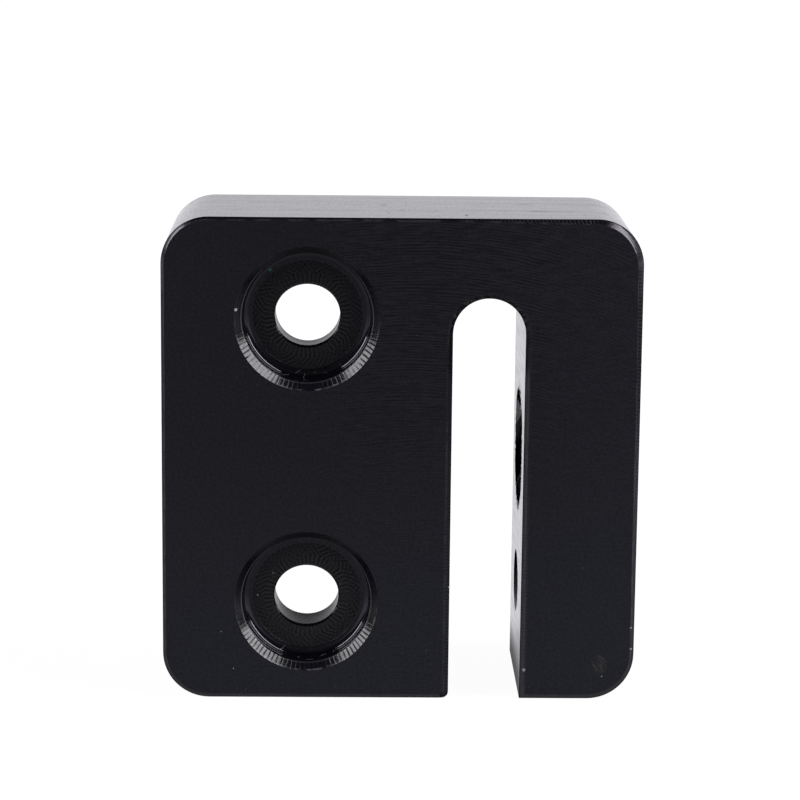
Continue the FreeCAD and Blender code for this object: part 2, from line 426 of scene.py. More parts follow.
def streaked_side():
    """Outer walls: streaks round the outline, as a side mill leaves them, with scratches and a worn top."""
    material, nodes = new_material("streaked_side")
    place = nodes.place()
    streaks = nodes.streaks(place, (0.10, 1.0, 0.10), 3.0)
    hairs = nodes.streaks(place, (5.0, 0.8, 5.0), 3.0)
    scratches = nodes.ramp(nodes.streaks(place, (0.3, 3.0, 0.3)), 0.69, 0.76, 0.0, 0.65)
    worn = nodes.math("MAXIMUM", scratches, top_wear(nodes, place))
    height = nodes.math("MULTIPLY_ADD", hairs, 0.03, streaks)
    height = nodes.math("MULTIPLY_ADD", scratches, -0.3, height)
    colour = nodes.blend(streaks, DARK, PALE)
    roughness = nodes.ramp(nodes.math("ADD", streaks, hairs), 0.6, 1.4, 0.09, 0.20)
    dulled = nodes.math("MULTIPLY_ADD", worn, -0.95, 1.0)
    gloss = nodes.math("MULTIPLY", nodes.ramp(streaks, 0.34, 0.66, 0.34, 0.66), dulled)
    acetal_surface(nodes, colour, roughness, height, relief=0.022 * MM, sheen=NEUTRAL, gloss=gloss)
    return material


def slot_wall():
    """The slot's walls: marks of the end mill from front to rear, scraped dull towards the mouth.
    The wall is dark round the lead screw's thread, where the tap tore it."""
    material, nodes = new_material("slot_wall")
    place = nodes.place()
    _, y, z = nodes.split(place)
    marks = nodes.streaks(place, (2.0, 0.2, 5.0), 3.0)
    grain = nodes.noise(place, 9.0, 2.0)
    height = nodes.math("MULTIPLY_ADD", grain, 0.25, marks)
    colour = nodes.blend(marks, DARK, PALE)
    dull = nodes.ramp(nodes.math("MULTIPLY_ADD", marks, 1.5, z), 3.9, 0.9, 0.0, 0.34)
    roughness = nodes.math("ADD", nodes.ramp(marks, 0.3, 0.7, 0.12, 0.2), dull)
    torn_middle = SCREW_HEIGHT / MM - 0.2
    narrowing = 1.15
    raggedness = 2.6
    from_screw = nodes.distance(nodes.math("MULTIPLY", y, narrowing), z, (0.0, torn_middle))
    ragged = nodes.math("MULTIPLY_ADD", nodes.noise(place, 3.4), raggedness, from_screw)
    gloss = nodes.ramp(ragged, 5.65, 5.8, 0.0, 0.58)
    acetal_surface(nodes, colour, roughness, height, relief=0.0008 * MM, gloss=gloss)
    return material


def straight_edges(nodes, x, z):
    """1 along the straight edges, and 0 round the leg's upper corner."""
    past_side = nodes.math("SUBTRACT", x, (HIGH.x - CORNER_RADIUS) / MM)
    past_top = nodes.math("SUBTRACT", z, (HIGH.z - CORNER_RADIUS) / MM)
    return nodes.ramp(nodes.math("MINIMUM", past_side, past_top), -0.5, 0.6, 1.0, 0.0)


def chatter_ticks(nodes, place, straight):
    """Ticks along the straight edges of the leg, fading out low down."""
    x, _, z = nodes.split(place)
    middle = (0, 0, MID_HEIGHT / MM)
    centred = nodes.add("ShaderNodeVectorMath", {0: place, 1: middle}, operation="SUBTRACT")
    apart = nodes.add("ShaderNodeVectorMath", {0: centred.outputs[0]}, operation="ABSOLUTE")
    along = nodes.add("ShaderNodeVectorMath", {0: apart.outputs[0], 1: (1, 1, 1)}, operation="DOT_PRODUCT")
    ticks = nodes.ramp(nodes.ripple(along.outputs["Value"], TICK_SPACING), 0.3, 0.9)
    on_leg = nodes.math("MULTIPLY", nodes.ramp(x, 3.0, 8.0), nodes.ramp(z, 10.0, 16.0))
    return nodes.math("MULTIPLY", ticks, nodes.math("MULTIPLY", straight, on_leg))


def beside_arch(nodes, x, z):
    """1 round the slot's arch, fading out down the slot's sides."""
    radius = SLOT_WIDTH / MM / 2
    from_arch = nodes.distance(x, z, (SLOT_MIDDLE / MM, SLOT_ARC_HEIGHT / MM))
    near = nodes.ramp(from_arch, radius + 2.0, radius + 1.0)
    return nodes.math("MULTIPLY", nodes.ramp(z, 21.0, 25.0), near)


def edge_tears_and_glints(nodes, place, ticks, arch):
    """How pale an edge is painted: a faint burr along the face as its highlight, flakes over the arch, and a
    little on the ticks.
    """
    _, y, z = nodes.split(place)
    burr_width = 0.05
    at_face = nodes.math("GREATER_THAN", nodes.math("ABSOLUTE", y), HIGH.y / MM - burr_width)
    # The burr along the face is painted pale, as its highlight
    burr = nodes.math("MULTIPLY", at_face, nodes.ramp(nodes.noise(place, 1.4, 3.0), 0.4, 0.6, 0.05, 0.25))
    flakes = nodes.math("MULTIPLY", arch, nodes.ramp(nodes.noise(place, 3.0), 0.45, 0.62, 0.0, 0.65))
    flakes = nodes.math("MULTIPLY", flakes, nodes.ramp(z, 25.6, 27.6))
    return nodes.math("MAXIMUM", nodes.math("MAXIMUM", burr, flakes), nodes.math("MULTIPLY", ticks, 0.15))


def broken_edge():
    """The narrow bevel round the faces: a scraped facet, a faint burr painted pale as its highlight, and
    chatter ticks down the leg.
    It is dull on the slot's left side, round the arch and up the leg's outer edge."""
    material, nodes = new_material("broken_edge")
    place = nodes.place()
    x, _, z = nodes.split(place)
    straight = straight_edges(nodes, x, z)
    ticks = chatter_ticks(nodes, place, straight)
    arch = beside_arch(nodes, x, z)
    torn_and_glint = edge_tears_and_glints(nodes, place, ticks, arch)
    lines = nodes.streaks(place, (0.2, 9.0, 0.2), 1.0)
    grain = nodes.grain(place)
    height = nodes.math("ADD", nodes.math("MULTIPLY_ADD", grain, 0.3, lines), ticks)
    colour = nodes.blend(torn_and_glint, nodes.blend(grain, DARK, PALE), TORN_AND_GLINT)
    # Painted light: the strip beside the slot is paler, as on a rounded edge
    colour = nodes.blend(slot_ticks_and_painted_light(nodes, x, z), colour, PAINTED_EDGE_LIGHT)
    colour = nodes.blend(dust_flecks(nodes, place, FACE_FLECKS), colour, DUST)
    roughness = nodes.ramp(grain, 0.3, 0.7, 0.16, 0.24)
    up_leg = nodes.math("MULTIPLY", nodes.ramp(z, 14.0, 26.0), nodes.ramp(x, 14.0, 15.0))
    up_leg = nodes.math("MULTIPLY", up_leg, straight)
    at_slot = nodes.ramp(nodes.math("ABSOLUTE", nodes.math("SUBTRACT", x, SLOT_LEFT / MM)), 0.7, 0.5)
    dulled = nodes.ramp(nodes.math("MAXIMUM", up_leg, at_slot), 0.0, 1.0, 0.58, 0.15)
    gloss = nodes.math("MULTIPLY", dulled, nodes.ramp(arch, 0.0, 1.0, 1.0, 0.1))
    acetal_surface(nodes, colour, roughness, height, relief=0.006 * MM, gloss=gloss)
    return material


def dark_corner():
    """The last thin facet between a bevel and the side: dull and nearly black."""
    material, nodes = new_material("dark_corner")
    place = nodes.place()
    grain = nodes.grain(place)
    colour = nodes.blend(grain, DARK, PALE)
    roughness = nodes.ramp(grain, 0.3, 0.7, 0.3, 0.4)
    acetal_surface(nodes, colour, roughness, grain, relief=0.004 * MM, gloss=0.005)
    return material


def fibres(nodes, place, rise):
    """A few short thin fibres, left by the cutter in the bottom of a front recess."""
    curl = nodes.math("ABSOLUTE", nodes.math("SUBTRACT", nodes.noise(place, 0.8, 0.0), 0.5))
    thin = nodes.ramp(curl, 0.014, 0.004)
    patch = nodes.ramp(nodes.noise(place, 1.9, 0.0), 0.54, 0.60, 0.0, 0.4)
    low = nodes.math("MULTIPLY", nodes.ramp(rise, -3.2, -3.7), on_front(nodes, place))
    return nodes.math("MULTIPLY", thin, nodes.math("MULTIPLY", patch, low))


def hole_coordinates(nodes, place):
    """Radius, angle in turns, and height above the axis, for the nearer mounting hole."""
    x, _, z = nodes.split(place)
    from_middle = nodes.math("SUBTRACT", z, MID_HEIGHT / MM)
    axis = nodes.math("MULTIPLY", nodes.math("SIGN", from_middle), HALF_PITCH / MM)
    rise = nodes.math("SUBTRACT", from_middle, axis)
    side = nodes.math("SUBTRACT", x, HOLE_X / MM)
    radius = nodes.distance(side, rise, (0.0, 0.0))
    angle = nodes.math("DIVIDE", nodes.math("ARCTAN2", rise, side), 2 * math.pi)
    return radius, angle, rise


def rim_marks(nodes, place, angle, below):
    """Short radial marks of uneven strength, on the lower half of a rim."""
    marks_round = 92
    wander = nodes.noise(place, 0.5)
    marks = nodes.wave(nodes.math("MULTIPLY_ADD", wander, 1.2, nodes.math("MULTIPLY", angle, marks_round)))
    strength = nodes.ramp(nodes.noise(place, 0.7), 0.35, 0.65, 0.25, 1.0)
    return nodes.math("MULTIPLY", nodes.ramp(marks, 0.5, 0.95), nodes.math("MULTIPLY", strength, below))


def rim_tears_and_glints(nodes, place, radius, rise, below):
    """How pale a rim is painted: a highlight along its inner edge, most at the sides towards the lamps, and
    tears in patches of its outer edge below.
    """
    inner_radius = RECESS_RADIUS / MM
    outer_radius = (RECESS_RADIUS + RIM_CHAMFER) / MM
    patchy = nodes.ramp(nodes.noise(place, 1.6, 3.0), 0.4, 0.7)
    outer_edge = nodes.ramp(radius, outer_radius - 0.12, outer_radius - 0.03)
    inner_edge = nodes.ramp(radius, inner_radius + 0.10, inner_radius + 0.05)
    # A painted highlight along the rim's inner edge, strongest at the sides, towards the lamps
    beside = nodes.ramp(nodes.math("ABSOLUTE", rise), 4.8, 3.0, 0.15, 0.55)
    torn_below = nodes.math("MULTIPLY", outer_edge, nodes.math("MULTIPLY", patchy, below))
    return nodes.math("MAXIMUM", nodes.math("MULTIPLY", inner_edge, beside), torn_below)


def chattered_rim():
    """The chamfer of a recess: painted pale above, as bounce light from the floor, with radial marks below,
    where the cutter chattered.
    """
    material, nodes = new_material("chattered_rim")
    place = nodes.place()
    radius, angle, rise = hole_coordinates(nodes, place)
    below = nodes.ramp(rise, 0.5, -2.0)
    above = nodes.ramp(rise, 2.6, 4.6)
    marks = rim_marks(nodes, place, angle, below)
    torn_and_glint = rim_tears_and_glints(nodes, place, radius, rise, below)
    rings = nodes.streaks(place, (0.3, 9.0, 0.3))
    height = nodes.math("MULTIPLY_ADD", rings, 0.4, marks)
    grain = nodes.grain(place)
    # The rim's upper half is painted paler, as the floor's bounce light on a face turned down
    plain = nodes.blend(above, nodes.blend(grain, DARK, PALE), nodes.blend(grain, PAINTED_BOUNCE_DIM, PAINTED_BOUNCE_BRIGHT))
    colour = nodes.blend(torn_and_glint, plain, TORN_AND_GLINT)
    colour = nodes.blend(dust_flecks(nodes, place, FACE_FLECKS), colour, DUST)
    roughness = nodes.math("MULTIPLY_ADD", marks, 0.2, nodes.ramp(grain, 0.3, 0.7, 0.15, 0.23))
    lit = nodes.ramp(rise, 0.0, -2.5, 0.34, 0.54)
    gloss = nodes.math("MULTIPLY", lit, nodes.ramp(marks, 0.1, 0.9, 1.0, 0.2))
    acetal_surface(nodes, colour, roughness, height, relief=0.007 * MM, sheen=NEUTRAL, gloss=gloss)
    return material


def recess_wall():
    """Walls cut by the tool's side, with fine rings along the hole's axis, and glossiest below."""
    material, nodes = new_material("recess_wall")
    place = nodes.place()
    y = nodes.split(place)[1]
    _, _, rise = hole_coordinates(nodes, place)
    ring_spacing = 0.12
    rings = nodes.ripple(y, ring_spacing)
    grain = nodes.noise(place, 4.0, 2.0)
    height = nodes.math("MULTIPLY_ADD", rings, 0.4, grain)
    colour = nodes.blend(fibres(nodes, place, rise), nodes.blend(grain, DARK, PALE), DUST)
    colour = nodes.blend(dust_flecks(nodes, place, [TEAL_FLECK]), colour, TEAL)
    roughness = nodes.ramp(grain, 0.3, 0.7, 0.07, 0.12)
    gloss = nodes.ramp(rise, 0.5, -1.5, 0.34, 0.85)
    acetal_surface(nodes, colour, roughness, height, relief=0.0008 * MM, gloss=gloss)
    return material


def hole_land():
    """The plain hole's wall: scraped along its axis, and duller towards the rear."""
    material, nodes = new_material("hole_land")
    place = nodes.place()
    y = nodes.split(place)[1]
    _, angle, _ = hole_coordinates(nodes, place)
    scrapes_round = 120
    around = nodes.math("MULTIPLY", angle, scrapes_round)
    scraped = nodes.add("ShaderNodeCombineXYZ", {"X": around, "Y": y})
    scrapes = nodes.noise(scraped.outputs[0], 1.0, 2.0)
    floor = (LOW.y + FRONT_RECESS_DEPTH) / MM
    dulled = nodes.ramp(y, floor + HOLE_LAND / MM, floor, 0.03, 0.15)
    gloss = nodes.math("MULTIPLY", dulled, nodes.ramp(scrapes, 0.3, 0.7, 0.6, 1.4))
    roughness = nodes.ramp(scrapes, 0.3, 0.7, 0.22, 0.34)
    colour = nodes.blend(scrapes, DARK, PALE)
    acetal_surface(nodes, colour, roughness, scrapes, relief=0.002 * MM, gloss=gloss)
    return material


def smooth_floor():
    """The outer ring of a recess floor, wiped by the tool's corner, with one teal fleck and paler ones."""
    material, nodes = new_material("smooth_floor")
    place = nodes.place()
    radius, _, rise = hole_coordinates(nodes, place)
    ring_spacing = 0.14
    rings = nodes.ripple(radius, ring_spacing)
    grain = nodes.noise(place, 6.0, 3.0)
    height = nodes.math("MULTIPLY_ADD", rings, 0.3, grain)
    colour = nodes.blend(dust_flecks(nodes, place, [TEAL_FLECK]), nodes.blend(grain, DARK, PALE), TEAL)
    colour = nodes.blend(dust_flecks(nodes, place, RECESS_FLECKS), colour, DUST)
    colour = nodes.blend(fibres(nodes, place, rise), colour, DUST)
    roughness = nodes.ramp(grain, 0.3, 0.7, 0.18, 0.26)
    bright = nodes.ramp(height, 0.35, 0.95, 0.45, 0.86)
    sheen = nodes.shade(VIOLET[:3], bright)
    acetal_surface(nodes, colour, roughness, height, relief=0.0016 * MM, sheen=sheen)
    return material


def rosette_marks(nodes, place, radius, angle):
    """Cutter marks that leave the hole straight, then slant one way or the other, plain in patches."""
    marks_round = 57
    turning_radius = 2.96
    slant = 0.045
    past = nodes.math("MAXIMUM", nodes.math("SUBTRACT", radius, turning_radius), 0.0)
    wander = nodes.noise(place, 0.9)
    sets = []
    for lean in (slant, -slant):
        turned_on = nodes.math("MULTIPLY_ADD", past, lean, angle)
        phase = nodes.math("MULTIPLY", turned_on, marks_round)
        sets.append(nodes.wave(nodes.math("MULTIPLY_ADD", wander, 0.7, phase)))
    chosen = nodes.ramp(nodes.noise(place, 0.7), 0.42, 0.58, 0.1, 0.9)
    first = nodes.math("MULTIPLY", sets[0], chosen)
    marks = nodes.math("MULTIPLY_ADD", sets[1], nodes.math("SUBTRACT", 1.0, chosen), first)
    patchy = nodes.ramp(nodes.noise(place, 1.3), 0.35, 0.65, 0.15, 0.75)
    return nodes.math("MULTIPLY", nodes.math("SUBTRACT", marks, 0.5), patchy)


def rosette_floor():
    """The inner ring of a recess floor: a rosette of cutter marks with a coarse grain, dimmer outwards."""
    material, nodes = new_material("rosette_floor")
    place = nodes.place()
    radius, angle, _ = hole_coordinates(nodes, place)
    marks = rosette_marks(nodes, place, radius, angle)
    grain = nodes.math("SUBTRACT", nodes.noise(place, 11.0, 2.0), 0.5)
    tone = nodes.math("MULTIPLY_ADD", grain, 2.0, nodes.math("ADD", marks, 0.5))
    colour = nodes.blend(nodes.ramp(tone, 0.1, 0.9), DARK, PALE)
    colour = nodes.blend(dust_flecks(nodes, place, RECESS_FLECKS), colour, DUST)
    fading = nodes.ramp(radius, 2.3, 3.8, 1.0, 0.72)
    bright = nodes.math("MULTIPLY", nodes.ramp(tone, 0.0, 1.0, 0.28, 1.02), fading)
    roughness = nodes.ramp(grain, -0.2, 0.2, 0.14, 0.22)
    sheen = nodes.shade(NEUTRAL[:3], bright)
    acetal_surface(nodes, colour, roughness, tone, relief=0.006 * MM, sheen=sheen)
    return material


def tapped_thread():
    """Thread flanks: faint tears along the cut."""
    material, nodes = new_material("tapped_thread")
    place = nodes.place()
    tears = nodes.streaks(place, (1.5, 6.0, 6.0), 3.0)
    grain = nodes.noise(place, 9.0, 2.0)
    height = nodes.math("MULTIPLY_ADD", grain, 0.4, tears)
    colour = nodes.blend(tears, DARK, PALE)
    roughness = nodes.ramp(tears, 0.3, 0.7, 0.28, 0.42)
    acetal_surface(nodes, colour, roughness, height, relief=0.006 * MM)
    return material


def make_materials():
    """Every finish of the block by a plain name, in the order of its material slots."""
    return {
        "face": milled_face(),
        "side": streaked_side(),
        "slot": slot_wall(),
        "edge": broken_edge(),
        "corner": dark_corner(),
        "rim": chattered_rim(),
        "wall": recess_wall(),
        "smooth floor": smooth_floor(),
        "rosette floor": rosette_floor(),
        "land": hole_land(),
        "thread": tapped_thread(),
    }


MATERIALS = make_materials()
SLOT_ORDER = list(MATERIALS)


# The block, and the cutters that make its holes

def mesh_object(name, vertices, faces, finishes):
    """A mesh object from plain lists, with the name of a finish for each face."""
    mesh = bpy.data.meshes.new(name)
    mesh.from_pydata(vertices, [], faces)
    for material in MATERIALS.values():
        mesh.materials.append(material)
    mesh.polygons.foreach_set("material_index", [SLOT_ORDER.index(finish) for finish in finishes])
    mesh.update()
    piece = bpy.data.objects.new(name, mesh)
    bpy.context.scene.collection.objects.link(piece)
    return piece


def run(start, end, inward):
    """Evenly spaced points between two corners of the outline, without the corners."""
    start, end = Vector(start), Vector(end)
    count = round((end - start).length / OUTLINE_STEP)
    return [(start.lerp(end, step / count), Vector(inward)) for step in range(1, count)]


def bend(centre, radius, first, last, hollow=False):
    """Points round an arc of the outline, between two angles in degrees. A hollow arc bends inwards."""
    count = max(LEAST_STEPS, round(abs(math.radians(last - first)) * radius / OUTLINE_STEP))
    points = []
    for step in range(count + 1):
        angle = math.radians(first + (last - first) * step / count)
        out = Vector((math.cos(angle), math.sin(angle)))
        points.append((Vector(centre) + out * radius, out if hollow else -out))
    return points


def outline():
    """The block seen from the front: points in order, each with the way into the material."""
    left, right, top = LOW.x, HIGH.x, HIGH.z
    corner, lip = CORNER_RADIUS, MOUTH_ROUND
    return [
        *bend((left + corner, corner), corner, 180, 270),
        *run((left + corner, 0), (SLOT_LEFT - lip, 0), (0, 1)),
        *bend((SLOT_LEFT - lip, lip), lip, 270, 360),
        *run((SLOT_LEFT, lip), (SLOT_LEFT, SLOT_ARC_HEIGHT), (-1, 0)),
        *bend((SLOT_MIDDLE, SLOT_ARC_HEIGHT), SLOT_WIDTH / 2, 180, 0, hollow=True),
        *run((SLOT_RIGHT, SLOT_ARC_HEIGHT), (SLOT_RIGHT, lip), (1, 0)),
        (Vector((SLOT_RIGHT, 0)), Vector((1, 1))),
        *run((SLOT_RIGHT + lip, 0), (right - corner, 0), (0, 1)),
        *bend((right - corner, corner), corner, 270, 360),
        *run((right, corner), (right, top - corner), (-1, 0)),
        *bend((right - corner, top - corner), corner, 0, 90),
        *run((right - corner, top), (left + corner, top), (0, -1)),
        *bend((left + corner, top - corner), corner, 90, 180),
        *run((left, top - corner), (left, corner), (1, 0)),
    ]


def in_slot(point):
    """Whether a point of the outline lies on the slot."""
    across = SLOT_LEFT - MOUTH_ROUND < point.x < SLOT_RIGHT + MOUTH_ROUND
    return across and point.y < HIGH.z - WEB_HEIGHT / 2


def slot_share(point):
    """How wide the slot's edge break is: wider on the slot's left side, and narrower over its arch."""
    left_share, right_share = 1.15, 0.85
    arch_loss = 0.35
    side_share = left_share if point.x < SLOT_MIDDLE else right_share
    up_arch = max(0.0, point.y - SLOT_ARC_HEIGHT) / (SLOT_WIDTH / 2)
    return side_share * (1 - arch_loss * up_arch)


def outer_share(point):
    """How wide the outer edge break is: wider towards the leg and low down, and widest at the leg's top."""
    least_share, leg_gain, low_gain, top_gain = 0.6, 0.2, 0.2, 0.6
    to_leg = max(0.0, point.x / HIGH.x)
    low = max(0.0, 1 - point.y / CORNER_RADIUS)
    leg_top = top_gain * to_leg ** 3 * (point.y / HIGH.z) ** 3
    return least_share + leg_gain * to_leg + low_gain * low + leg_top


def break_width(point):
    """How far an edge was broken across the face, with some unevenness along it."""
    unevenness = 0.10
    wave_length = 2.5 * MM
    uneven = 1 + unevenness * noise.noise(Vector((point.x, 0, point.y)) / wave_length)
    share = slot_share(point) if in_slot(point) else outer_share(point)
    return EDGE_BREAK * uneven * share


def break_slope(point):
    """How deep an edge was broken for its width: flat in most places, and even at the two top corners."""
    flat_slope = 0.4
    to_corner = abs(point.x / HIGH.x) ** 3 * (point.y / HIGH.z) ** 2
    return flat_slope + (1 - flat_slope) * min(1.0, to_corner)


def add_block():
    """The outer form: the outline from front to rear, with its broken edges."""
    bands = ["edge", "corner", "side", "corner", "edge"]
    path = outline()
    rings = [[] for _ in range(len(bands) + 1)]
    for point, inward in path:
        width = break_width(point)
        depth = width * break_slope(point)
        steps = [(FACET_INSET + width, 0.0), (FACET_INSET, depth), (0.0, depth + FACET_DEPTH)]
        for step, (inset, below) in enumerate(steps):
            place = point + inward * inset
            rings[step].append((place.x, LOW.y + below, place.y))
            rings[-1 - step].append((place.x, HIGH.y - below, place.y))
    vertices = [place for ring in rings for place in ring]
    count = len(path)
    rear = len(bands) * count
    faces = [list(range(count)), list(range(rear, rear + count))[::-1]]
    finishes = ["face", "face"]
    for band, finish in enumerate(bands):
        for step in range(count):
            after = (step + 1) % count
            corners = [step, step + count, after + count, after]
            faces.append([band * count + corner for corner in corners])
            middle = (path[step][0] + path[after][0]) / 2
            slot_side = finish == "side" and in_slot(middle) and middle.y > 0
            finishes.append("slot" if slot_side else finish)
    return mesh_object("acetal_nut_block", vertices, faces, finishes)


def solid_of_rings(name, rings, finishes):
    """A closed solid from rings of equally many points, with one finish for each band between rings."""
    count = len(rings[0])
    vertices = [point for ring in rings for point in ring]
    faces = [list(range(count))[::-1], [(len(rings) - 1) * count + step for step in range(count)]]
    face_finishes = [finishes[0], finishes[-1]]
    for band, finish in enumerate(finishes):
        for step in range(count):
            after = (step + 1) % count
            low, high = band * count, (band + 1) * count
            faces.append([low + step, low + after, high + after, high + step])
            face_finishes.append(finish)
    return mesh_object(name, vertices, faces, face_finishes)


def turned(name, profile, centre, along_x=False, burrs=None):
    """A cutter turned about an axis along Y, or along X. The profile has place, radius and the next finish.
    Burrs gives, for some points of the profile, how far a burr narrows the hole above and below."""
    rings = []
    for point in profile:
        place, radius, _ = point
        above, below = (burrs or {}).get(point, (0.0, 0.0))
        ring = []
        for step in range(TURN_SEGMENTS):
            angle = 2 * math.pi * step / TURN_SEGMENTS
            rise = math.sin(angle)
            reach = radius - (above if rise > 0 else below) * rise ** 2
            across, up = reach * math.cos(angle), reach * rise
            if along_x:
                ring.append((place, centre[0] + across, centre[1] + up))
            else:
                ring.append((centre[0] - across, place, centre[1] + up))
        rings.append(ring)
    return solid_of_rings(name, rings, [finish for _, _, finish in profile[:-1]])


def floor_fillet(place, outward):
    """The small radius where a recess wall meets its floor, as places and radii from the wall inwards.
    Outward is -1 at the front and 1 at the rear."""
    points = []
    for step in range(FILLET_STEPS + 1):
        angle = math.pi / 2 * step / FILLET_STEPS
        depth = place + outward * FLOOR_CORNER * (1 - math.sin(angle))
        radius = RECESS_RADIUS - FLOOR_CORNER * (1 - math.cos(angle))
        points.append((depth, radius))
    return points


def mounting_hole(name, height, rear_burr):
    """One stepped hole: chamfered recess, dished floor, plain hole, and the deeper recess behind."""
    front, rear = LOW.y, HIGH.y
    floor = front + FRONT_RECESS_DEPTH
    land_end = floor + HOLE_LAND
    rim = RECESS_RADIUS + RIM_CHAMFER
    front_fillet = floor_fillet(floor - RING_DISH, -1)
    rear_fillet = floor_fillet(land_end, 1)[::-1]
    lip = floor + ROSETTE_STEP + HOLE_LIP
    front_edge = (lip, HOLE_RADIUS, "rosette floor")
    rear_edge = (land_end - HOLE_LIP, HOLE_RADIUS, "land")
    burrs = {front_edge: (FRONT_BURR, FRONT_BURR), rear_edge: (0.0, rear_burr)}
    profile = [
        (front - PAST_FACE, rim + PAST_FACE, "rim"),
        (front + RIM_CHAMFER, RECESS_RADIUS, "wall"),
        *[(depth, radius, "wall") for depth, radius in front_fillet[:-1]],
        (*front_fillet[-1], "smooth floor"),
        (floor, ROSETTE_RADIUS, "smooth floor"),
        (floor + ROSETTE_STEP, ROSETTE_RADIUS - ROSETTE_STEP, "rosette floor"),
        (floor + ROSETTE_STEP, HOLE_RADIUS + HOLE_LIP, "rosette floor"),
        front_edge,
        (lip + HOLE_LIP, HOLE_RADIUS, "land"),
        rear_edge,
        (land_end, HOLE_RADIUS + HOLE_LIP, "smooth floor"),
        *[(depth, radius, "wall") for depth, radius in rear_fillet],
        (rear - RIM_CHAMFER, RECESS_RADIUS, "rim"),
        (rear + PAST_FACE, rim + PAST_FACE, "rim"),
    ]
    return turned(name, profile, (HOLE_X, height), burrs=burrs)


def thread_section(crest, root, crest_share, root_share, starts):
    """One slice through a thread, as angle and radius: root and crest flats joined by straight flanks."""
    flank_share = (1 - crest_share - root_share) / 2
    stretches = [
        (root_share, root, root, FLAT_STEPS),
        (flank_share, root, crest, FLANK_STEPS),
        (crest_share, crest, crest, FLAT_STEPS),
        (flank_share, crest, root, FLANK_STEPS),
    ]
    points = []
    for start in range(starts):
        share = -root_share / 2
        for width, first, last, count in stretches:
            for step in range(count):
                part = step / count
                angle = 2 * math.pi * (start + share + width * part) / starts
                points.append((angle, first + (last - first) * part))
            share += width
    return points


def threaded(name, section, ends, height, lead, step, turn, tear=0.0):
    """A cutter with a right-hand thread along X: its section turns once a lead. Tear makes it ragged."""
    tear_length = 0.6 * MM
    count = math.ceil((ends[1] - ends[0]) / step)
    rings = []
    for index in range(count + 1):
        place = ends[0] + (ends[1] - ends[0]) * index / count
        twist = turn + 2 * math.pi * place / lead
        ring = []
        for angle, radius in section:
            out = Vector((0, math.cos(angle + twist), math.sin(angle + twist)))
            where = Vector((place, 0, 0)) + out * radius
            ragged = tear * noise.noise(where / tear_length)
            ring.append(where + out * ragged + Vector((0, 0, height)))
        rings.append(ring)
    return solid_of_rings(name, rings, ["thread"] * count)


def screw_thread():
    """The lead screw's four-start thread, through the body and the leg."""
    crest_share = SCREW_CREST_FLAT / SCREW_PITCH
    root_share = SCREW_ROOT_FLAT / SCREW_PITCH
    section = thread_section(SCREW_CREST, SCREW_ROOT, crest_share, root_share, SCREW_STARTS)
    lead = SCREW_PITCH * SCREW_STARTS
    # The ends are uneven so that no slice of the thread lies in a wall
    uneven = 1.3
    ends = (LOW.x - uneven * PAST_FACE, HIGH.x + PAST_FACE)
    turn = math.radians(SCREW_PHASE) - 2 * math.pi * SLOT_RIGHT / lead
    return threaded("screw_thread", section, ends, SCREW_HEIGHT, lead, SCREW_SLICE, turn, SCREW_TEAR)


def refined(section):
    """A thread's section with two more points on each stretch, as a thread with one start needs."""
    fine_section = []
    for index, (angle, radius) in enumerate(section):
        after_angle, after_radius = section[(index + 1) % len(section)]
        after_angle += 2 * math.pi if index == len(section) - 1 else 0
        for part in (0.0, 0.5, 0.75):
            kept = 1 - part
            fine_section.append((angle * kept + after_angle * part, radius * kept + after_radius * part))
    return fine_section


def adjuster_thread():
    """The adjusting screw's thread, through the leg alone."""
    crest_share = ADJUSTER_CREST_FLAT / ADJUSTER_PITCH
    root_share = ADJUSTER_ROOT_FLAT / ADJUSTER_PITCH
    section = refined(thread_section(ADJUSTER_CREST, ADJUSTER_ROOT, crest_share, root_share, 1))
    ends = (SLOT_RIGHT - PAST_FACE, HIGH.x + PAST_FACE)
    lead = ADJUSTER_PITCH
    turn = math.radians(ADJUSTER_PHASE) - 2 * math.pi * SLOT_RIGHT / lead
    return threaded("adjuster_thread", section, ends, ADJUSTER_HEIGHT, lead, ADJUSTER_SLICE, turn)


def mouth(name, face, outward, height, radius):
    """The lead-in cone of a threaded hole. Outward is the sign of X that points out of the face."""
    depth_share = 0.8
    depth = depth_share * radius
    profile = [
        (face + outward * PAST_FACE, radius + PAST_FACE, "edge"),
        (face - outward * depth, radius - depth, "edge"),
    ]
    ordered = profile if outward < 0 else profile[::-1]
    return turned(name, ordered, (0.0, height), along_x=True)


def cut(piece, cutter):
    """Cuts one solid out of the piece. The new faces keep the cutter's finish."""
    knife = piece.modifiers.new(cutter.name, "BOOLEAN")
    knife.operation = "DIFFERENCE"
    knife.solver = "EXACT"
    knife.material_mode = "TRANSFER"
    knife.object = cutter
    bpy.context.view_layer.update()
    evaluated = piece.evaluated_get(bpy.context.evaluated_depsgraph_get())
    mesh = bpy.data.meshes.new_from_object(evaluated)
    piece.modifiers.clear()
    old = piece.data
    piece.data = mesh
    bpy.data.meshes.remove(old)
    bpy.data.meshes.remove(cutter.data)


def add_nut():
    """The whole nut as one piece, standing where the solid stands."""
    nut = add_block()
    cutters = [
        mounting_hole("lower_hole", MID_HEIGHT - HALF_PITCH, LOWER_REAR_BURR),
        mounting_hole("upper_hole", MID_HEIGHT + HALF_PITCH, UPPER_REAR_BURR),
        mouth("screw_mouth_body", LOW.x, -1, SCREW_HEIGHT, SCREW_MOUTH_RADIUS),
        mouth("screw_mouth_leg", HIGH.x, 1, SCREW_HEIGHT, SCREW_MOUTH_RADIUS),
        mouth("adjuster_mouth", HIGH.x, 1, ADJUSTER_HEIGHT, ADJUSTER_MOUTH_RADIUS),
        screw_thread(),
        adjuster_thread(),
    ]
    for cutter in cutters:
        cut(nut, cutter)
    nut.data.name = "acetal_nut_block"
    nut.data.shade_smooth()
    nut.data.set_sharp_from_angle(angle=SHARP_ANGLE)
    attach(nut, "root")
    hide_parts("nut_block")


# The studio and its camera

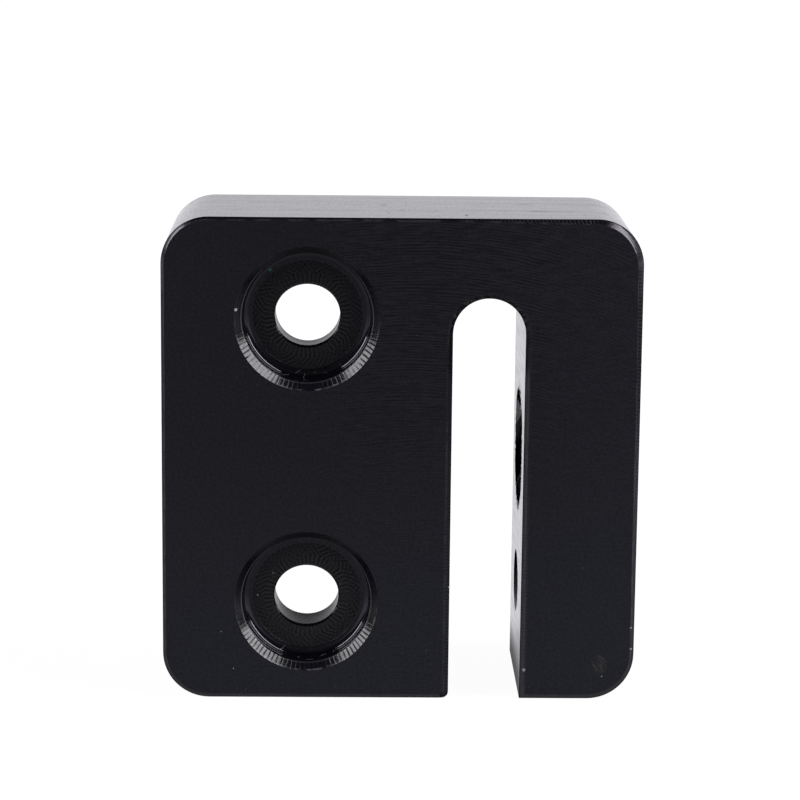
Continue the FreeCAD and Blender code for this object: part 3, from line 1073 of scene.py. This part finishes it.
def pale_floor():
    """White to the camera, with the lamps' soft shadow and a faint painted shadow round the block. The block
    mirrors a painted glow of it, dimmer in front than behind.
    """
    material, nodes = new_material("pale_floor")
    path = nodes.add("ShaderNodeLightPath").outputs
    mirrored = nodes.math("MAXIMUM", path["Is Glossy Ray"], path["Is Transmission Ray"])
    x, y, _ = nodes.split(nodes.add("ShaderNodeTexCoord").outputs["Object"])
    # What the block mirrors is a painted glow: dimmer in front, brighter to the sides, full behind
    front = nodes.ramp(nodes.distance(x, y, (0.0, -0.01)), 0.11, 0.0, 0.30, 0.54)
    to_right = nodes.ramp(x, 0.004, 0.06, 1.0, 2.0)
    to_left = nodes.ramp(x, -0.010, -0.06, 1.0, 1.7)
    front = nodes.math("MULTIPLY", front, nodes.math("MULTIPLY", to_right, to_left))
    behind = nodes.ramp(y, 0.004, 0.016)
    painted_mirror_level = nodes.math("MULTIPLY_ADD", behind, nodes.math("SUBTRACT", 1.0, front), front)
    # Painted shadow: the white that the camera sees dips a little near the block
    painted_shadow_level = nodes.ramp(nodes.distance(x, y, (0.0, 0.0)), 0.03, 0.12, 0.965, 1.0)
    seen = nodes.math("MULTIPLY", path["Is Camera Ray"], painted_shadow_level)
    strength = nodes.math("MULTIPLY_ADD", mirrored, painted_mirror_level, seen)
    diffuse = nodes.add("ShaderNodeBsdfDiffuse", {"Color": FLOOR_GREY})
    tint = nodes.blend(path["Is Camera Ray"], STUDIO_TINT, WHITE)
    glow = nodes.add("ShaderNodeEmission", {"Color": tint, "Strength": strength})
    both = nodes.add("ShaderNodeAddShader", {0: diffuse.outputs[0], 1: glow.outputs[0]})
    nodes.add("ShaderNodeOutputMaterial", {"Surface": both.outputs[0]})
    return material


def add_floor():
    """A wide pale floor under the block."""
    near, far = -FLOOR_REACH, FLOOR_REACH
    corners = [(near, near, 0), (far, near, 0), (far, far, 0), (near, far, 0)]
    mesh = bpy.data.meshes.new("studio_floor")
    mesh.from_pydata(corners, [], [[0, 1, 2, 3]])
    mesh.materials.append(pale_floor())
    floor = bpy.data.objects.new("studio_floor", mesh)
    bpy.context.scene.collection.objects.link(floor)


def add_world():
    """White behind the object, dimmer in front and overhead, and white wherever the camera looks."""
    world = bpy.data.worlds.new("studio")
    bpy.context.scene.world = world
    world.use_nodes = True
    nodes = Nodes(world.node_tree)
    direction = nodes.add("ShaderNodeTexCoord").outputs["Generated"]
    _, y, z = nodes.split(direction)
    behind = nodes.ramp(y, -0.1, 0.5, 0.06, 1.0)
    overhead = nodes.ramp(z, 0.35, 0.75, 1.0, 0.03)
    level = nodes.math("MULTIPLY", behind, overhead)
    camera_ray = nodes.add("ShaderNodeLightPath").outputs["Is Camera Ray"]
    strength = nodes.math("MAXIMUM", level, camera_ray)
    tint = nodes.blend(camera_ray, STUDIO_TINT, WHITE)
    background = nodes.add("ShaderNodeBackground", {"Color": tint, "Strength": strength})
    nodes.add("ShaderNodeOutputWorld", {"Surface": background.outputs[0]})


def add_softbox(name, place, width, height, watts):
    """A tall soft light that faces the middle of the block, out of the camera's sight."""
    data = bpy.data.lights.new(name, "AREA")
    data.shape = "RECTANGLE"
    data.size = width
    data.size_y = height
    data.energy = watts
    lamp = bpy.data.objects.new(name, data)
    bpy.context.scene.collection.objects.link(lamp)
    middle = (LOW + HIGH) / 2
    lamp.location = place
    lamp.rotation_euler = (middle - Vector(place)).to_track_quat("-Z", "Y").to_euler()
    lamp.visible_camera = False


def add_camera():
    """The photograph's point of view, from its pitch, yaw and roll."""
    ahead = Vector((math.sin(CAMERA_YAW), math.cos(CAMERA_YAW), 0))
    level = Vector((math.cos(CAMERA_YAW), -math.sin(CAMERA_YAW), 0))
    upright = Vector((0, 0, 1))
    forward = ahead * math.cos(CAMERA_PITCH) - upright * math.sin(CAMERA_PITCH)
    up = upright * math.cos(CAMERA_PITCH) + ahead * math.sin(CAMERA_PITCH)
    right = level * math.cos(CAMERA_ROLL) + up * math.sin(CAMERA_ROLL)
    top = up * math.cos(CAMERA_ROLL) - level * math.sin(CAMERA_ROLL)
    data = bpy.data.cameras.new("camera")
    data.lens = CAMERA_LENS
    data.sensor_width = CAMERA_SENSOR
    data.clip_start = CAMERA_NEAR
    camera = bpy.data.objects.new("camera", data)
    bpy.context.scene.collection.objects.link(camera)
    turn = Matrix((right, top, -forward)).transposed().to_4x4()
    camera.matrix_world = Matrix.Translation(CAMERA_PLACE) @ turn
    bpy.context.scene.camera = camera


# The whole scene

add_nut()
add_floor()
add_world()
for softbox, settings in SOFTBOXES.items():
    add_softbox(softbox, *settings)
add_camera()
bpy.context.scene.view_settings.view_transform = "Standard"
